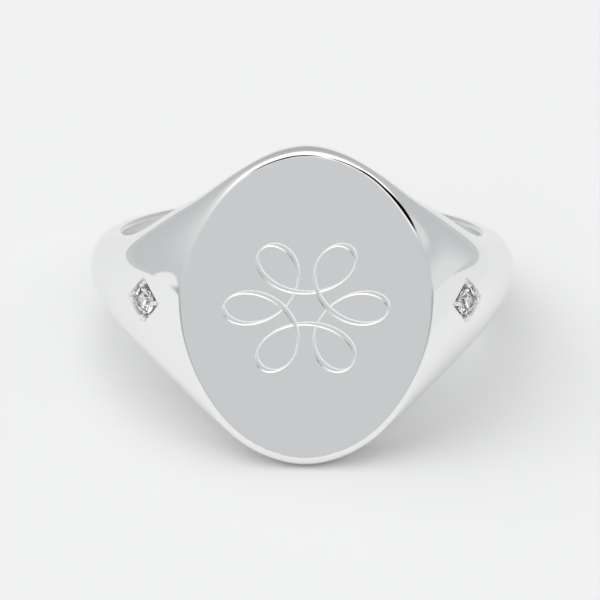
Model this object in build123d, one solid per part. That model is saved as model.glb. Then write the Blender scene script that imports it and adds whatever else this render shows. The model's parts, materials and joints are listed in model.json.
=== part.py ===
from build123d import *
import math
import os

import numpy as np

# A small oval signet ring: one polished metal casting, with one round stone
# grain-set in a lozenge on each shoulder. It is shaped about its finger axis
# (face towards -Y, finger axis along Z), then tilted into the pose in which
# it lies on a table, and that is how the parts are written.

# Driving dimensions, in millimetres and degrees
finger_radius = 8.25      # inside diameter 16.5, a US size 6
face_distance = 10.3      # from the finger axis to the flat oval face
face_rim_radius = 0.42    # polished rounding around the face
bore_edge_radius = 0.22   # comfort rounding at both ends of the finger hole

# Sections round the ring, from the middle of the face to the back of the hoop:
# angle, crown radius, radius of the widest line, half width, and fullness of
# the crown, the sides and the root
stations = np.array([
    (0, 11.36, 9.82, 7.31, 4.05, 4.0, 2.2),
    (15, 11.50, 9.70, 6.46, 3.3, 3.7, 2.2),
    (29, 11.74, 9.25, 4.82, 2.25, 2.65, 2.4),
    (40, 11.45, 8.90, 3.84, 2.0, 2.0, 2.4),
    (52, 10.95, 8.62, 2.71, 2.03, 2.2, 2.4),
    (65, 10.35, 8.52, 1.97, 2.02, 2.2, 2.4),
    (90, 9.71, 8.48, 1.38, 2.08, 2.1, 2.4),
    (135, 9.60, 8.47, 1.15, 2.1, 2.1, 2.4),
    (180, 9.58, 8.47, 1.15, 2.1, 2.1, 2.4),
])
root_depth_face = 3.0     # how far a section closes inside its widest line
root_depth_back = 1.5
section_points = 24
section_step = 10         # degrees between sections

# Round brilliant stones, with slopes from level
stone_diameter = 1.25
girdle_thickness = 0.03
crown_height = 0.19
pavilion_depth = 0.53
table_share = 0.56        # table width over girdle diameter
star_slope = 21
crown_main_slope = 34
upper_half_slope = 41
pavilion_main_slope = 40.8
lower_half_slope = 42.6

# Lozenge settings on the shoulders
stone_angle = 40          # from the middle of the face
girdle_sink = 0.12        # top of the girdle below the shoulder's surface
lozenge_half_diagonal = 1.16
lozenge_floor_half_diagonal = 0.94
lozenge_depth = 0.26
seat_gap = 0.01
pilot_radius = 0.32       # drilled through to the finger hole
grain_radius = 0.125
grain_reach = 0.72        # from the stone's axis to the middle of a grain
grain_root_reach = 0.80

# Large enough to reach past the whole ring from its middle
beyond = 4 * face_distance


def clamped_spline(knots, values, at):
    """Cubic spline through values, level at both ends."""
    count = len(knots)
    gaps = np.diff(knots)
    system = np.eye(count)
    right_side = np.zeros(count)
    for i in range(1, count - 1):
        before, after = 1 / gaps[i - 1], 1 / gaps[i]
        system[i, i - 1:i + 2] = before, 2 * (before + after), after
        rise_before = (values[i] - values[i - 1]) * before ** 2
        rise_after = (values[i + 1] - values[i]) * after ** 2
        right_side[i] = 3 * (rise_before + rise_after)
    slopes = np.linalg.solve(system, right_side)
    i = min(max(np.searchsorted(knots, at) - 1, 0), count - 2)
    t = (at - knots[i]) / gaps[i]
    start = (1 + 2 * t) * (1 - t) ** 2 * values[i] + t * (1 - t) ** 2 * gaps[i] * slopes[i]
    end = t ** 2 * (3 - 2 * t) * values[i + 1] + t ** 2 * (t - 1) * gaps[i] * slopes[i + 1]
    return start + end


def station(angle):
    """The stations' columns at an angle, and the root's depth."""
    folded = abs((angle + 180) % 360 - 180)
    shape = [clamped_spline(stations[:, 0], column, folded) for column in stations[:, 1:].T]
    towards_face = (1 + math.cos(math.radians(min(2 * folded, 180)))) / 2
    root_depth = root_depth_back + (root_depth_face - root_depth_back) * towards_face
    return (*shape, root_depth)


def section_point(angle, turn):
    """A point of a section's outline: distance from the finger axis, and height along it."""
    crown, widest, half_width, crown_fullness, side_fullness, root_fullness, root_depth = station(angle)
    outwards, upwards = math.cos(math.radians(turn)), math.sin(math.radians(turn))
    depth, across, along = root_depth, root_fullness, root_fullness
    if outwards > 0:
        depth, across, along = crown - widest, side_fullness, crown_fullness
    distance = widest + depth * math.copysign(abs(outwards) ** (2 / across), outwards)
    height = half_width * math.copysign(abs(upwards) ** (2 / along), upwards)
    return distance, height


def around(angle, distance, height=0):
    """A point at an angle from the middle of the face."""
    turned = math.radians(angle)
    return Vector(distance * math.sin(turned), -distance * math.cos(turned), height)


def section(angle):
    """Closed outline of the metal, drawn on inside the finger hole's surface."""
    turns = [360 * i / section_points for i in range(section_points)]
    points = [around(angle, *section_point(angle, turn)) for turn in turns]
    return Wire([Edge.make_spline(points, periodic=True)])


def curved_edges(face):
    """A face's edges, without the straight ones on the plane of symmetry."""
    return [edge for edge in face.edges() if edge.geom_type != GeomType.LINE]


def ring_blank():
    """Hoop, shoulders and flat face, before the settings are cut."""
    angles = range(-section_step, 180 + 2 * section_step, section_step)
    half = Solid.make_loft([section(angle) for angle in angles])
    half &= Box(beyond, beyond, beyond, align=(Align.MIN, Align.CENTER, Align.CENTER))
    half -= Cylinder(finger_radius, beyond)
    before_face = Box(beyond, beyond, beyond, align=(Align.CENTER, Align.MAX, Align.CENTER))
    half -= Pos(0, -face_distance, 0) * before_face
    face = half.faces().sort_by(Axis.Y)[0]
    half = fillet(curved_edges(face), face_rim_radius)
    bore = half.faces().filter_by(GeomType.CYLINDER).sort_by(SortBy.AREA)[-1]
    half = fillet(curved_edges(bore), bore_edge_radius)
    return half + mirror(half, about=Plane.YZ)


def setting_place(side):
    """Where a setting sits: x along the shoulder, y along the finger, z out of the metal."""
    crown = station(stone_angle)[0]
    step = 0.01
    rise = (station(stone_angle + step)[0] - station(stone_angle - step)[0]) / 2
    along = around(side * (stone_angle + 90), crown * math.radians(step)) + around(side * stone_angle, rise)
    outwards = (along * side).cross(Vector(0, 0, 1))
    return Plane(origin=around(side * stone_angle, crown), x_dir=along * side, z_dir=outwards)


def lozenge(half_diagonal, height):
    """A square standing on its corner, at a height on the setting's axis."""
    width = half_diagonal * math.sqrt(2)
    return Pos(0, 0, height) * Rectangle(width, width, rotation=45)


def setting_cutter():
    """Lozenge recess with sloping bright-cut walls, the stone's seat and its pilot hole."""
    clear = 0.6
    wall_slope = (lozenge_half_diagonal - lozenge_floor_half_diagonal) / lozenge_depth
    mouth = lozenge(lozenge_half_diagonal + wall_slope * clear, clear)
    recess = loft([lozenge(lozenge_floor_half_diagonal, -lozenge_depth), mouth])
    seat_radius = stone_diameter / 2 + seat_gap
    seat_top = -girdle_sink - girdle_thickness - seat_gap
    well = Cylinder(seat_radius, clear, align=(Align.CENTER, Align.CENTER, Align.MIN))
    cone_depth = (seat_radius - pilot_radius) * math.tan(math.radians(pavilion_main_slope))
    cone = Cone(pilot_radius, seat_radius, cone_depth, align=(Align.CENTER, Align.CENTER, Align.MIN))
    pilot_length = 2 * (station(stone_angle)[0] - finger_radius)
    pilot = Cylinder(pilot_radius, pilot_length, align=(Align.CENTER, Align.CENTER, Align.MAX))
    seat = Pos(0, 0, seat_top) * (well + Pos(0, 0, -cone_depth) * cone)
    return recess + seat + pilot


def grain(turn):
    """A bead of the casting's own metal, raised in a corner of the lozenge to hold the stone."""
    root_height = lozenge_depth + girdle_sink
    root = Cylinder(grain_radius, root_height, align=(Align.CENTER, Align.CENTER, Align.MAX))
    bead = Pos(grain_reach, 0, 0) * Sphere(grain_radius)
    return Rot(0, 0, turn) * (Pos(grain_root_reach, 0, 0) * root + bead)


def grind(stone, turn, slope, reach, height):
    """Grind one facet, on a plane through a point at that reach and height."""
    waste = Box(beyond, beyond, beyond, align=(Align.CENTER, Align.CENTER, Align.MIN))
    return stone - Rot(0, 0, turn) * Pos(reach, 0, height) * Rot(0, slope, 0) * waste


def brilliant():
    """Round brilliant with the top of its girdle at z=0, its table up and its culet down."""
    girdle = stone_diameter / 2
    below = girdle_thickness + pavilion_depth
    blank = Cylinder(girdle, crown_height + below, align=(Align.CENTER, Align.CENTER, Align.MIN))
    stone = Pos(0, 0, -below) * blank
    star_reach = table_share * girdle * math.cos(math.pi / 8)
    for main in range(0, 360, 45):
        stone = grind(stone, main, crown_main_slope, girdle, 0)
        stone = grind(stone, main, 180 - pavilion_main_slope, girdle, -girdle_thickness)
        stone = grind(stone, main + 22.5, star_slope, star_reach, crown_height)
        for half in (main - 11.25, main + 11.25):
            stone = grind(stone, half, upper_half_slope, girdle, 0)
            stone = grind(stone, half, 180 - lower_half_slope, girdle, -girdle_thickness)
    return stone


def resting_tilt():
    """Tilt at which the lower rim of the face and the back of the hoop both touch the table."""
    rim = [section_point(0, turn) for turn in range(180, 361)]
    back = [section_point(180, turn) for turn in range(180, 361)]
    low, high = 5, 30
    while high - low > 1e-6:
        tilt = (low + high) / 2
        rise, level = math.sin(math.radians(tilt)), math.cos(math.radians(tilt))
        rim_low = min(distance * rise + height * level for distance, height in rim)
        back_low = min(-distance * rise + height * level for distance, height in back)
        low, high = (tilt, high) if rim_low < back_low else (low, tilt)
    return low


ring = ring_blank()
parts = {}
for side, name in ((-1, "stone_left"), (1, "stone_right")):
    place = setting_place(side)
    ring -= place * setting_cutter()
    for corner in range(4):
        ring += place * grain(90 * corner)
    parts[name] = place * Pos(0, 0, -girdle_sink) * brilliant()
parts["ring_body"] = ring

tilted = Rot(-resting_tilt(), 0, 0)
box = (tilted * ring).bounding_box()
resting = Pos(0, -box.center().Y, -box.min.Z) * tilted

os.makedirs("parts", exist_ok=True)
for name, solid in parts.items():
    export_step(resting * solid, f"parts/{name}.step")
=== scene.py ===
import json
import math

import bpy
import numpy as np
from mathutils import Matrix, Quaternion, Vector


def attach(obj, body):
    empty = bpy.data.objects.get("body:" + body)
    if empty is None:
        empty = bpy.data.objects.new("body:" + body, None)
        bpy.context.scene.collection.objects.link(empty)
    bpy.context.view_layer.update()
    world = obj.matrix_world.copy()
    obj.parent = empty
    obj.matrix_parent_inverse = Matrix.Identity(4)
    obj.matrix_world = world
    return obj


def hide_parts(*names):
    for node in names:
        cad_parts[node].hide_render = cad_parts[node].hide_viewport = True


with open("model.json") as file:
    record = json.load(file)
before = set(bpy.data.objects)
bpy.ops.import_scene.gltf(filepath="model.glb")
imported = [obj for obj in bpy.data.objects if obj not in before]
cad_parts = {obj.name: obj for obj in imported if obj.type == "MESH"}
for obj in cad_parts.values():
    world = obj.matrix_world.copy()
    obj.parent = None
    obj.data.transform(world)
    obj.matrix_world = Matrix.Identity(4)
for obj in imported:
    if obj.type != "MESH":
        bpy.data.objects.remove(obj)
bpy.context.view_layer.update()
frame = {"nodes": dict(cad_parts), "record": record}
MM = 0.001

# The frame's own facts, in metres: the finger axis and the flat face
mounts = {mount["name"]: mount for mount in frame["record"]["mounts"]}
bore, face = mounts["finger_bore"], mounts["signet_face"]
bore_centre, finger_axis = Vector(bore["pos_m"]), Vector(bore["axis"]).normalized()
face_centre, face_normal = Vector(face["pos_m"]), Vector(face["axis"]).normalized()

# The ring's own axes: x to the right, y from face to back, z along the finger. Unless a comment says
# otherwise, lengths from here on are in millimetres in these axes, and angles are in degrees.
ring_axes = Matrix((Vector((1, 0, 0)), -face_normal, finger_axis)).transposed().to_4x4()
ring_to_row = Matrix.Translation(bore_centre) @ Matrix.Scale(MM, 4) @ ring_axes
finger_radius = bore["dims"]["r_mm"]
face_distance = (face_centre - bore_centre).dot(face_normal) / MM

# Sections round the ring, from the middle of the face to the back of the hoop: angle, crown radius,
# radius of the widest line, half width, and fullness of the crown, the sides and the root
stations = np.array([
    (0, 11.36, 9.82, 7.31, 4.05, 4.0, 2.2),
    (15, 11.50, 9.70, 6.46, 3.3, 3.7, 2.2),
    (29, 11.74, 9.25, 4.82, 2.25, 2.65, 2.4),
    (40, 11.45, 8.90, 3.84, 2.0, 2.0, 2.4),
    (52, 10.95, 8.62, 2.71, 2.03, 2.2, 2.4),
    (65, 10.35, 8.52, 1.97, 2.02, 2.2, 2.4),
    (90, 9.71, 8.48, 1.38, 2.08, 2.1, 2.4),
    (135, 9.60, 8.47, 1.15, 2.1, 2.1, 2.4),
    (180, 9.58, 8.47, 1.15, 2.1, 2.1, 2.4),
])
root_depth_face = 3.0
root_depth_back = 1.5
rim_rounding = 0.45
rim_last_angle = 29       # just past the last section that meets the flat face
bore_rounding = 0.22
core_radius = 8.9         # a circle that lies inside the metal everywhere
skin_reach = 9.0          # no point of the skin is this far from that circle

# Fineness of the ring's mesh
face_sections = 127
face_half_width = 5.95    # the face's sections reach just past its rounded rim
edge_crowding = 0.6       # how much they crowd towards both ends, where the rim runs along them
hoop_sections = 220
section_rows = 236
rough_rows = 360          # two rougher rounds find where the rows go
finer_rows = 480
bend_share = 0.9          # millimetres of extra way for each radian of bend, which crowds the rows
bend_smoothing = 3        # in rows
rim_halvings = 40         # how often the search for the rim and the skin halves its step
skin_halvings = 24

# Lozenge settings on the shoulders, as the stones' nodes have them
stone_angle = 40
stone_radius = 0.625
girdle_thickness = 0.03
girdle_sink = 0.12
pavilion_slope = 40.8
lozenge_half_diagonal = 1.16
lozenge_floor_half_diagonal = 0.94
lozenge_depth = 0.26
seat_gap = 0.01
pilot_radius = 0.32
grain_radius = 0.125
grain_reach = 0.72
grain_root_reach = 0.80
grain_root_foot = 1.25    # a grain's root is this much wider at its foot than the grain
grain_root = ((1.15, -0.16), (0.9, -0.04), (0.4, 0.02))     # and further up: width, likewise, and height
tool_clear = 0.6          # how far a setting's cutters stand out of the metal

# Engraved rosette: one line in six loops, swelling and thinning as a graver cuts it
rosette_half_width = 3.70
rosette_half_height = 3.25
rosette_loops = 6
rosette_loop_share = 0.39
line_thin = 0.08
line_thick = 0.27
line_slant = 50           # the direction in which the line is thinnest
groove_wall = 0.065
groove_slope = 22
groove_clear = 0.02       # how far the cutter stands above the face
groove_floor = 0.008      # the narrowest that the groove's floor may be

# Finishes
bore_roughness = 0.30     # the finger hole is brushed, not mirror-polished
zirconia_index = 2.15

# Light, as azimuth and elevation of where it comes from
lamp_direction = (-95, 70)
lamp_spread = 70
lamp_strength = 1.12
tent_back = (0, 0.6, 0.8)     # the tent grows darker this way, up and away from the camera

# Camera at the photograph's angle, in metres and degrees
camera_azimuth = -1.44
camera_elevation = 31.01
camera_distance = 0.320
camera_lens = 428
camera_roll = 0.85
aim_right = -0.278 * MM   # the face sits a little right of and below the picture's middle
aim_up = 0.357 * MM


def station_slopes():
    """Slopes of the cubic splines through the stations, level at both ends."""
    angles, values = stations[:, 0], stations[:, 1:]
    gaps = np.diff(angles)
    system = np.eye(len(angles))
    right_side = np.zeros(values.shape)
    for i in range(1, len(angles) - 1):
        before, after = 1 / gaps[i - 1], 1 / gaps[i]
        system[i, i - 1:i + 2] = before, 2 * (before + after), after
        rise_before = (values[i] - values[i - 1]) * before ** 2
        rise_after = (values[i + 1] - values[i]) * after ** 2
        right_side[i] = 3 * (rise_before + rise_after)
    return np.linalg.solve(system, right_side)


slopes = station_slopes()


def section_shape(angle):
    """The stations' columns at angles, and the root's depth."""
    angles, values = stations[:, 0], stations[:, 1:]
    i = np.clip(np.searchsorted(angles, angle) - 1, 0, len(angles) - 2)
    gap = (angles[i + 1] - angles[i])[..., None]
    t = (angle - angles[i])[..., None] / gap
    start = (1 + 2 * t) * (1 - t) ** 2 * values[i] + t * (1 - t) ** 2 * gap * slopes[i]
    end = t ** 2 * (3 - 2 * t) * values[i + 1] + t ** 2 * (t - 1) * gap * slopes[i + 1]
    towards_face = (1 + np.cos(np.radians(np.minimum(2 * angle, 180)))) / 2
    root_depth = root_depth_back + (root_depth_face - root_depth_back) * towards_face
    return (*np.moveaxis(start + end, -1, 0), root_depth)


def crown_at(angle):
    return float(section_shape(np.array(angle))[0])


def rounded_join(a, b, radius, lean=0):
    """Outside either of two surfaces, whose normals' cosine is lean, with their edge rounded."""
    a_in, b_in = a + radius, b + radius
    square = np.maximum(a_in ** 2 + b_in ** 2 - 2 * a_in * b_in * lean, 0)
    rolled = np.sqrt(square / (1 - lean ** 2)) - radius
    return np.where((a_in > b_in * lean) & (b_in > a_in * lean), rolled, np.maximum(a, b))


def outside_sides(points):
    """About how far points are outside the hoop and shoulders, before the flat face is cut."""
    tiny, flattest = 1e-9, 1e-6     # these keep the powers and the division finite
    x, y, z = np.moveaxis(points, -1, 0)
    distance = np.hypot(x, y)
    shape = section_shape(np.degrees(np.abs(np.arctan2(x, -y))))
    crown, widest, half_width, crown_fullness, side_fullness, root_fullness, root_depth = shape
    outer = distance > widest
    depth = np.where(outer, crown - widest, root_depth)
    across = np.where(outer, side_fullness, root_fullness)
    along = np.where(outer, crown_fullness, root_fullness)
    u = np.maximum(np.abs(distance - widest) / depth, tiny)
    v = np.maximum(np.abs(z) / half_width, tiny)
    total = u ** across + v ** along
    mean = (across + along) / 2
    steepness = np.hypot(across * u ** (across - 1) / depth, along * v ** (along - 1) / half_width)
    return (total ** (1 / mean) - 1) / np.maximum(total ** (1 / mean - 1) / mean * steepness, flattest)


def slope_of(surface, points):
    """Unit vectors along which a surface's distance grows fastest, by small steps each way."""
    steps = 1e-4 * np.eye(3)
    slope = np.stack([surface(points + step) - surface(points - step) for step in steps], -1)
    return slope / np.linalg.norm(slope, axis=-1, keepdims=True)


def skin_distance(is_inside, shape, halvings):
    """How far the skin is, found by halving the reach: is_inside says which distances are too short."""
    low, high = np.zeros(shape), np.full(shape, skin_reach)
    for _ in range(halvings):
        middle = (low + high) / 2
        inside = is_inside(middle)
        low, high = np.where(inside, middle, low), np.where(inside, high, middle)
    return low


def rim_leans():
    """How far the sides lean over the flat face along its rim, by the angle from its middle."""
    angles = np.radians(np.linspace(0, rim_last_angle, 2 * rim_last_angle + 1))
    x, y = face_distance * np.tan(angles), np.full(angles.shape, -face_distance)
    z = skin_distance(lambda height: outside_sides(np.stack([x, y, height], -1)) < 0, x.shape, rim_halvings)
    return angles, -slope_of(outside_sides, np.stack([x, y, z], -1))[:, 1]


rim_lean = rim_leans()


def outside(points):
    """About how far points are outside the metal, in millimetres, negative inside it."""
    x, y = points[..., 0], points[..., 1]
    lean = np.interp(np.abs(np.arctan2(x, -y)), *rim_lean)
    metal = rounded_join(outside_sides(points), -y - face_distance, rim_rounding, lean)
    return rounded_join(metal, finger_radius - np.hypot(x, y), bore_rounding)


def surface_points(angles, turns):
    """Points of the ring's skin, at angles from the face and turns about the core circle, in radians."""
    across = np.stack([np.sin(angles), -np.cos(angles), np.zeros(angles.shape)], -1)
    core = across * core_radius
    ray = across * np.cos(turns)[..., None]
    ray[..., 2] = np.sin(turns)
    reach = skin_distance(lambda far: outside(core + ray * far[..., None]) < 0, angles.shape, skin_halvings)
    return core + ray * reach[..., None]


def skin_grid(angles, rows):
    """Rows of points round each section, closer together where it bends."""
    turns = np.tile(np.linspace(-math.pi, math.pi, rough_rows + 1), (len(angles), 1))
    nearby = range(1 - bend_smoothing, bend_smoothing)
    for count, share in ((finer_rows, 0), (rows, bend_share)):
        rough = surface_points(np.repeat(angles[:, None], turns.shape[1], axis=1), turns)
        legs = np.diff(rough, axis=1)
        lengths = np.linalg.norm(legs, axis=-1)
        directions = legs / lengths[..., None]
        bends = np.linalg.norm(directions - np.roll(directions, 1, axis=1), axis=-1)
        weighed = [np.roll(bends, shift, axis=1) * (bend_smoothing - abs(shift)) for shift in nearby]
        bends = sum(turned / bend_smoothing ** 2 for turned in weighed)
        travel = np.cumsum(lengths + share * bends, axis=1)
        travel = np.concatenate([np.zeros((len(angles), 1)), travel], axis=1)
        even = np.arange(count + 1) / count
        turns = np.array([np.interp(even * way[-1], way, turn) for way, turn in zip(travel, turns)])
    return surface_points(np.repeat(angles[:, None], rows, axis=1), turns[:, :-1])


def ring_skin():
    """The polished casting as one closed mesh, before its settings and engraving."""
    even = np.linspace(-1, 1, face_sections)
    crowded = (1 - edge_crowding) * even + edge_crowding * np.sin(even * math.pi / 2)
    on_face = np.arctan2(face_half_width * crowded, face_distance)
    round_hoop = np.linspace(on_face[-1], 2 * math.pi + on_face[0], hoop_sections + 2)[1:-1]
    angles = np.concatenate([on_face, round_hoop])
    within_half_turn = (angles + math.pi) % (2 * math.pi) - math.pi
    points = skin_grid(within_half_turn, section_rows).reshape(-1, 3)
    index = np.arange(len(points)).reshape(len(angles), section_rows)
    ahead, above = np.roll(index, -1, axis=0), np.roll(index, -1, axis=1)
    quads = np.stack([index, ahead, np.roll(ahead, -1, axis=1), above], -1).reshape(-1, 4)
    mesh = bpy.data.meshes.new("signet_ring_body")
    mesh.from_pydata(points.tolist(), [], quads.tolist())
    mesh.update()
    return mesh


def new_material(name):
    """A material, its node tree and shader, and the output that gives each point's place in metres."""
    material = bpy.data.materials.new(name)
    material.use_nodes = True
    tree = material.node_tree
    place = tree.nodes.new("ShaderNodeTexCoord").outputs["Object"]
    return material, tree, tree.nodes["Principled BSDF"], place


def feed(tree, socket, value):
    """Link another node's output to a socket, or set the socket to a plain value."""
    if isinstance(value, bpy.types.NodeSocket):
        tree.links.new(value, socket)
    else:
        socket.default_value = value


def number_math(tree, operation, *values):
    node = tree.nodes.new("ShaderNodeMath")
    node.operation = operation
    for socket, value in zip(node.inputs, values):
        feed(tree, socket, value)
    return node.outputs["Value"]


def vector_math(tree, operation, *values):
    node = tree.nodes.new("ShaderNodeVectorMath")
    node.operation = operation
    for socket, value in zip(node.inputs, values):
        feed(tree, socket, value)
    return node.outputs["Value" if operation in ("DOT_PRODUCT", "LENGTH") else "Vector"]


def map_range(tree, value, start, end=(0, 1), smooth=False):
    """A value carried from the range start to the range end, in a straight line or an S."""
    node = tree.nodes.new("ShaderNodeMapRange")
    node.interpolation_type = "SMOOTHSTEP" if smooth else "LINEAR"
    node.inputs["From Min"].default_value, node.inputs["From Max"].default_value = start
    node.inputs["To Min"].default_value, node.inputs["To Max"].default_value = end
    tree.links.new(value, node.inputs["Value"])
    return node.outputs["Result"]


def mix_colour(tree, share, below, above):
    node = tree.nodes.new("ShaderNodeMix")
    node.data_type = "RGBA"
    tree.links.new(share, node.inputs["Factor"])
    tree.links.new(below, node.inputs["A"])
    node.inputs["B"].default_value = above
    return node.outputs["Result"]


def noise_and_tone(tree, place, scale, darker, lighter, detail=2):
    """Noise at so many cells a metre, and a tone between two colours that follows it."""
    noise = tree.nodes.new("ShaderNodeTexNoise")
    noise.inputs["Scale"].default_value = scale
    noise.inputs["Detail"].default_value = detail
    tone = tree.nodes.new("ShaderNodeValToRGB")
    tone.color_ramp.elements[0].color = darker
    tone.color_ramp.elements[1].color = lighter
    tree.links.new(place, noise.inputs["Vector"])
    tree.links.new(noise.outputs["Fac"], tone.inputs["Fac"])
    return noise.outputs["Fac"], tone.outputs["Color"]


def polished_metal():
    """Mirror-polished silver, faintly uneven in tone and gloss, and brushed inside the finger hole."""
    material, tree, shader, place = new_material("polished_silver")
    shader.inputs["Metallic"].default_value = 1
    shader.inputs["Specular Tint"].default_value = (0.93, 0.93, 0.93, 1)
    darker, lighter = (0.905, 0.908, 0.912, 1), (0.935, 0.935, 0.930, 1)
    cloud, tone = noise_and_tone(tree, place, 220, darker, lighter, detail=4)
    gloss = map_range(tree, cloud, (0, 1), (0.02, 0.06))
    from_middle = vector_math(tree, "SUBTRACT", place, bore_centre)
    across = vector_math(tree, "CROSS_PRODUCT", from_middle, finger_axis)
    hole_edge = (finger_radius + bore_rounding) * MM, (finger_radius + bore_rounding / 2) * MM
    brushed = map_range(tree, vector_math(tree, "LENGTH", across), hole_edge, (0, bore_roughness))
    tree.links.new(tone, shader.inputs["Base Color"])
    tree.links.new(number_math(tree, "ADD", gloss, brushed), shader.inputs["Roughness"])
    return material


def cut_metal():
    """The graver's fine chatter, which leaves the walls of a cut bright from every side."""
    material, tree, shader, place = new_material("bright_cut_silver")
    shader.inputs["Metallic"].default_value = 1
    chatter, tone = noise_and_tone(tree, place, 9000, (0.94, 0.94, 0.94, 1), (1, 1, 1, 1))
    tree.links.new(tone, shader.inputs["Base Color"])
    tree.links.new(map_range(tree, chatter, (0, 1), (0.22, 0.38)), shader.inputs["Roughness"])
    return material


def colourless_stone():
    material, tree, shader, place = new_material("brilliant_stone")
    shader.inputs["Transmission Weight"].default_value = 1
    shader.inputs["IOR"].default_value = zirconia_index
    shader.inputs["Roughness"].default_value = 0
    tone = noise_and_tone(tree, place, 3000, (0.97, 0.98, 1, 1), (1, 1, 1, 1))[1]
    tree.links.new(tone, shader.inputs["Base Color"])
    return material


def paper():
    """Pale paper under the ring, with painted shade that makes it a little darker on its right, and a
    painted falloff of light that turns it grey on its far side.
    """
    material, tree, shader, place = new_material("pale_paper")
    shader.inputs["Roughness"].default_value = 0.8
    shader.inputs["Specular IOR Level"].default_value = 0.1
    colour = noise_and_tone(tree, place, 60, (0.89, 0.89, 0.89, 1), (0.91, 0.91, 0.91, 1))[1]
    axes = tree.nodes.new("ShaderNodeSeparateXYZ")
    tree.links.new(place, axes.inputs["Vector"])
    # Painted shade: the right side and the far side are darkened in the colour as a stand-in for light that
    # falls off there, not because the paper changes
    painted_right_shade, painted_far_falloff = (0.85, 0.85, 0.85, 1), (0.617, 0.624, 0.636, 1)
    for axis, fade, shade in (("X", (0.015, 0.060), painted_right_shade), ("Y", (0.080, 0.100), painted_far_falloff)):
        share = map_range(tree, axes.outputs[axis], fade, smooth=True)
        colour = mix_colour(tree, share, colour, shade)
    tree.links.new(colour, shader.inputs["Base Color"])
    return material


def setting_place(side):
    """Where a setting sits: x along the shoulder, y along the finger, z out of the metal."""
    crown, step = crown_at(stone_angle), 0.01
    rise = (crown_at(stone_angle + step) - crown_at(stone_angle - step)) / (2 * math.radians(step))
    angle = math.radians(stone_angle)
    outwards = Vector((side * math.sin(angle), -math.cos(angle), 0))
    along = outwards * rise + Vector((side * math.cos(angle), math.sin(angle), 0)) * crown
    along = along.normalized() * side
    up = Vector((0, 0, 1))
    axes = Matrix((along, up, along.cross(up))).transposed().to_4x4()
    return Matrix.Translation(outwards * crown) @ axes


def tool_object(name, points, faces):
    mesh = bpy.data.meshes.new(name)
    mesh.from_pydata([tuple(point) for point in points], [], faces)
    mesh.update()
    tool = bpy.data.objects.new(name, mesh)
    bpy.context.scene.collection.objects.link(tool)
    return tool


def turned_tool(place, profile, sides):
    """A closed solid turned about the place's axis through (radius, height) points, upwards."""
    turns = np.arange(sides) * 2 * math.pi / sides
    points = [place @ Vector((radius * math.cos(turn), radius * math.sin(turn), height))
              for radius, height in profile for turn in turns]
    index = np.arange(len(points)).reshape(-1, sides)
    ahead = np.roll(index, -1, axis=1)
    walls = np.stack([index[:-1], ahead[:-1], ahead[1:], index[1:]], -1).reshape(-1, 4)
    ends = [index[0][::-1].tolist(), index[-1].tolist()]
    return tool_object("turned_tool", points, [*walls.tolist(), *ends])


def work(body, tool, operation):
    """Cut a tool out of the body, or join it on, and use the tool up."""
    change = body.modifiers.new("work", "BOOLEAN")
    change.solver = "MANIFOLD"
    change.operation = operation
    change.object = tool
    with bpy.context.temp_override(object=body, active_object=body):
        bpy.ops.object.modifier_apply(modifier=change.name)
    bpy.data.meshes.remove(tool.data)


def cut_setting(body, side):
    """Lozenge recess, the stone's seat and pilot hole, and four grains raised over the girdle."""
    place = setting_place(side)
    wall_slope = (lozenge_half_diagonal - lozenge_floor_half_diagonal) / lozenge_depth
    mouth = (lozenge_half_diagonal + wall_slope * tool_clear, tool_clear)
    lozenge = [(lozenge_floor_half_diagonal, -lozenge_depth), mouth]
    work(body, turned_tool(place, lozenge, 4), "DIFFERENCE")
    seat_radius = stone_radius + seat_gap
    seat_top = -girdle_sink - girdle_thickness - seat_gap
    seat_bottom = seat_top - (seat_radius - pilot_radius) * math.tan(math.radians(pavilion_slope))
    through = 2 * (crown_at(stone_angle) - finger_radius)
    pilot = [(pilot_radius, -through), (pilot_radius, seat_bottom)]
    seat = [(seat_radius, seat_top), (seat_radius, tool_clear)]
    work(body, turned_tool(place, [*pilot, *seat], 72), "DIFFERENCE")
    foot = (grain_radius * grain_root_foot, -lozenge_depth - girdle_sink)
    root = [foot, *((grain_radius * share, height) for share, height in grain_root)]
    tilts = np.radians(np.linspace(-85, 85, 15))
    bead = [(grain_radius * math.cos(tilt), grain_radius * math.sin(tilt)) for tilt in tilts]
    for turn in range(0, 360, 90):
        turned = place @ Matrix.Rotation(math.radians(turn), 4, "Z")
        for reach, profile, sides in ((grain_root_reach, root, 24), (grain_reach, bead, 28)):
            grain = turned_tool(turned @ Matrix.Translation((reach, 0, 0)), profile, sides)
            work(body, grain, "UNION")


def groove_tool(points, widths):
    """A flat-bottomed cutter along points of the face plane, across and up, as wide as widths."""
    ahead = np.gradient(points, axis=0)
    ahead /= np.linalg.norm(ahead, axis=1, keepdims=True)
    sideways = np.stack([-ahead[:, 1], ahead[:, 0]], -1)
    slope = math.tan(math.radians(groove_slope))
    wall = np.minimum(widths / 2 - groove_floor / 2, groove_wall)
    top = (widths / 2 + groove_clear / slope, np.full(len(points), groove_clear))
    bottom = (widths / 2 - wall, -wall * slope)
    corners = []
    for (reach, height), sides in ((top, (-1, 1)), (bottom, (1, -1))):
        for side in sides:
            flat = points + sideways * (side * reach)[:, None]
            corners.append(np.stack([flat[:, 0], -face_distance - height, flat[:, 1]], -1))
    solid = np.stack(corners, axis=1).reshape(-1, 3)
    index = np.arange(len(solid)).reshape(-1, len(corners))
    around = np.roll(index, -1, axis=1)
    walls = np.stack([index[:-1], index[1:], around[1:], around[:-1]], -1).reshape(-1, 4)
    ends = [index[0].tolist(), index[-1][::-1].tolist()]
    return tool_object("groove_tool", solid, [*walls.tolist(), *ends])


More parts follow.
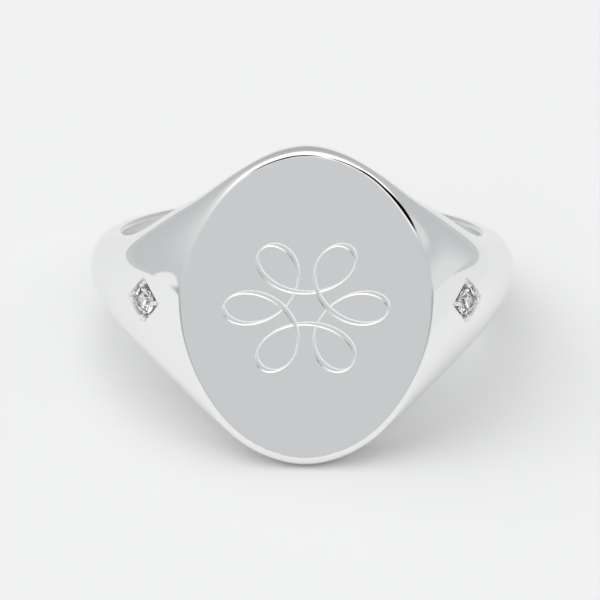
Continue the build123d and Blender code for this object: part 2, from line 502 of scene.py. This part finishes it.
def engrave_rosette(body):
    """The rosette's line, cut in pieces that overlap a little, two to a loop."""
    pieces, samples, overlap = 2 * rosette_loops, 44, 0.02
    inner, turns = rosette_loop_share, rosette_loops - 1
    for piece in range(pieces):
        start = 2 * math.pi * (piece + 0.5) / pieces
        t = np.linspace(start - overlap, start + 2 * math.pi / pieces + overlap, samples)
        across = rosette_half_width * ((1 - inner) * np.sin(t) + inner * np.sin(turns * t))
        up = rosette_half_height * ((1 - inner) * np.cos(t) - inner * np.cos(turns * t))
        points = np.stack([across, up], -1)
        steps = np.gradient(points, axis=0)
        heading = np.arctan2(steps[:, 1], steps[:, 0]) - math.radians(line_slant)
        widths = line_thin + (line_thick - line_thin) * np.sin(heading) ** 2
        work(body, groove_tool(points, widths), "DIFFERENCE")


def vectors_of(items, name):
    """The vector of that name of every item of a mesh, as the rows of an array."""
    values = np.empty(len(items) * 3)
    items.foreach_get(name, values)
    return values.reshape(-1, 3)


def skin_normals(mesh):
    """Each face corner's normal: the form's own on the polished skin, the mesh's where it was cut."""
    sharp_angle, same_way_angle, skin_tolerance = 16, 14, 0.004
    mesh.shade_smooth()
    mesh.set_sharp_from_angle(angle=math.radians(sharp_angle))
    points = vectors_of(mesh.vertices, "co")
    normals = vectors_of(mesh.corner_normals, "vector")
    corner_vertex = np.empty(len(mesh.loops), dtype=int)
    mesh.loops.foreach_get("vertex_index", corner_vertex)
    sizes = np.empty(len(mesh.polygons), dtype=int)
    mesh.polygons.foreach_get("loop_total", sizes)
    own = np.repeat(vectors_of(mesh.polygon_normals, "vector"), sizes, axis=0)
    form = slope_of(outside, points)[corner_vertex]
    on_skin = np.abs(outside(points))[corner_vertex] < skin_tolerance
    keep = on_skin & (np.sum(own * form, axis=1) > math.cos(math.radians(same_way_angle)))
    return np.where(keep[:, None], form, normals)


def cut_faces(mesh):
    """Which faces a graver left: the sloping walls of the engraving, and the inside of both settings."""
    rosette_margin, shallowest, deepest = 1.1, 0.002, 0.2
    setting_reach, below_skin, past_bore = 1.3, 0.006, 0.01
    centres = vectors_of(mesh.polygons, "center")
    slopes = vectors_of(mesh.polygons, "normal")
    x, y, z = centres.T
    near = np.hypot(x / rosette_half_width, z / rosette_half_height) < rosette_margin
    tilt = np.degrees(np.arccos(np.clip(-slopes[:, 1], -1, 1)))
    sunk = (y > shallowest - face_distance) & (y < deepest - face_distance)
    cut = near & sunk & (tilt > groove_slope / 2)
    in_metal = (outside(centres) < -below_skin) & (np.hypot(x, y) > finger_radius + past_bore)
    for side in (-1, 1):
        middle = np.array(setting_place(side).translation)
        cut |= (np.linalg.norm(centres - middle, axis=1) < setting_reach) & in_metal
    return cut


def make_ring_body():
    body = bpy.data.objects.new("signet_ring_body", ring_skin())
    bpy.context.scene.collection.objects.link(body)
    for side in (-1, 1):
        cut_setting(body, side)
    engrave_rosette(body)
    mesh = body.data
    normals = skin_normals(mesh)
    mesh.materials.clear()
    mesh.materials.append(polished_metal())
    mesh.materials.append(cut_metal())
    mesh.polygons.foreach_set("material_index", cut_faces(mesh).astype(np.int32))
    turn = np.array(ring_to_row.to_3x3()) / MM
    mesh.transform(ring_to_row)
    mesh.normals_split_custom_set((normals @ turn.T).tolist())
    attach(body, "root")
    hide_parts("ring_body")


def finish_stones():
    material = colourless_stone()
    for name in ("stone_left", "stone_right"):
        stone = frame["nodes"][name]
        stone.data.materials.clear()
        stone.data.materials.append(material)


def make_floor():
    bpy.ops.mesh.primitive_plane_add(size=6, location=(0, 0, 0))
    floor = bpy.context.object
    floor.name = "floor"
    floor.data.materials.append(paper())


def direction(azimuth, elevation):
    """A unit vector in the row's axes: azimuth 0 looks along -Y, the camera's side, and 90 along +X."""
    turned, raised = math.radians(azimuth), math.radians(elevation)
    level = math.cos(raised)
    return Vector((math.sin(turned) * level, -math.cos(turned) * level, math.sin(raised)))


def tent_patch(tree, place, azimuth, elevation, wide, tall, roll, soft):
    """A mask of an oval of the tent: half widths and roll in degrees, and how soft its edge is."""
    middle = direction(azimuth, elevation)
    right = direction(azimuth + 90, 0)
    up = middle.cross(right)
    turned = math.radians(roll)
    across = right * math.cos(turned) + up * math.sin(turned)
    axes = (across / math.sin(math.radians(wide)), across.cross(middle) / math.sin(math.radians(tall)))
    offset = tree.nodes.new("ShaderNodeCombineXYZ")
    for axis, socket in zip(axes, ("X", "Y")):
        tree.links.new(vector_math(tree, "DOT_PRODUCT", place, axis), offset.inputs[socket])
    reach = vector_math(tree, "LENGTH", offset.outputs["Vector"])
    edge = map_range(tree, reach, (1 + soft, 1 - soft), smooth=True)
    facing = number_math(tree, "GREATER_THAN", vector_math(tree, "DOT_PRODUCT", place, middle), 0)
    return number_math(tree, "MULTIPLY", edge, facing)


def light_tent():
    """Grey tent, darker behind, with bright diffusers, four dark openings and two dim strips."""
    world = bpy.data.worlds.new("light_tent")
    bpy.context.scene.world = world
    world.use_nodes = True
    tree = world.node_tree
    place = tree.nodes.new("ShaderNodeTexCoord").outputs["Generated"]
    depth = map_range(tree, vector_math(tree, "DOT_PRODUCT", place, tent_back), (-1, 1))
    wall = tree.nodes.new("ShaderNodeValToRGB")
    tree.links.new(depth, wall.inputs["Fac"])
    ramp = wall.color_ramp
    ramp.elements[0].color = (0.640, 0.648, 0.660, 1)
    ramp.elements[1].color = (0.455, 0.460, 0.465, 1)
    ramp.elements.new(0.5).color = (0.592, 0.600, 0.612, 1)
    ramp.elements.new(0.8).color = (0.560, 0.567, 0.577, 1)
    colour = wall.outputs["Color"]
    white, black = (1.25, 1.25, 1.24, 1), (0, 0, 0, 1)
    pale, cream, silver = (0.88, 0.88, 0.875, 1), (0.76, 0.765, 0.77, 1), (0.72, 0.725, 0.73, 1)
    haze, dim = (0.73, 0.735, 0.74, 1), (0.45, 0.455, 0.46, 1)
    # Azimuth, elevation, half width, half height, roll, softness and tone, each over the ones before
    patches = (
        (-58, 29, 42, 16, 0, 0.60, haze),
        (0, 47, 30, 28, 0, 0.30, white),
        (38, 32, 30, 13, 13, 0.20, white),
        (82, 17, 18, 5, 0, 0.30, silver),
        (-3, 25, 7, 7, 0, 0.15, black),
        (13, 27, 6, 5, 45, 0.30, black),
        (27, 30, 10, 5.5, 20, 0.20, black),
        (48, 27, 31, 6.5, 0, 0.20, black),
        (-82, -1.5, 18, 5.5, 8, 0.10, pale),
        (84, 0.5, 34, 7, 0, 0.50, cream),
        (-36, 2, 34, 2, 2, 0.20, dim),
        (34, 2, 25, 3, 0, 0.30, dim),
    )
    for *shape, tone in patches:
        colour = mix_colour(tree, tent_patch(tree, place, *shape), colour, tone)
    tree.links.new(colour, tree.nodes["Background"].inputs["Color"])


def make_lamp():
    """Broad soft light from high on the left, which lights the table and isn't mirrored in the metal."""
    data = bpy.data.lights.new("table_light", "SUN")
    data.angle = math.radians(lamp_spread)
    data.energy = lamp_strength
    lamp = bpy.data.objects.new("table_light", data)
    lamp.rotation_mode = "QUATERNION"
    lamp.rotation_quaternion = direction(*lamp_direction).to_track_quat("Z", "Y")
    lamp.visible_glossy = False
    bpy.context.scene.collection.objects.link(lamp)


def make_camera():
    towards = direction(camera_azimuth, camera_elevation)
    turn = towards.to_track_quat("Z", "Y") @ Quaternion((0, 0, 1), math.radians(camera_roll))
    aim = face_centre + turn @ Vector((aim_right, aim_up, 0))
    data = bpy.data.cameras.new("camera")
    data.lens = camera_lens
    data.clip_start = 0.01
    data.clip_end = 10
    camera = bpy.data.objects.new("camera", data)
    camera.rotation_mode = "QUATERNION"
    camera.rotation_quaternion = turn
    camera.location = aim + towards * camera_distance
    bpy.context.scene.collection.objects.link(camera)
    bpy.context.scene.camera = camera


make_camera()
make_ring_body()
finish_stones()
make_floor()
light_tent()
make_lamp()
bpy.context.scene.view_settings.view_transform = "Standard"
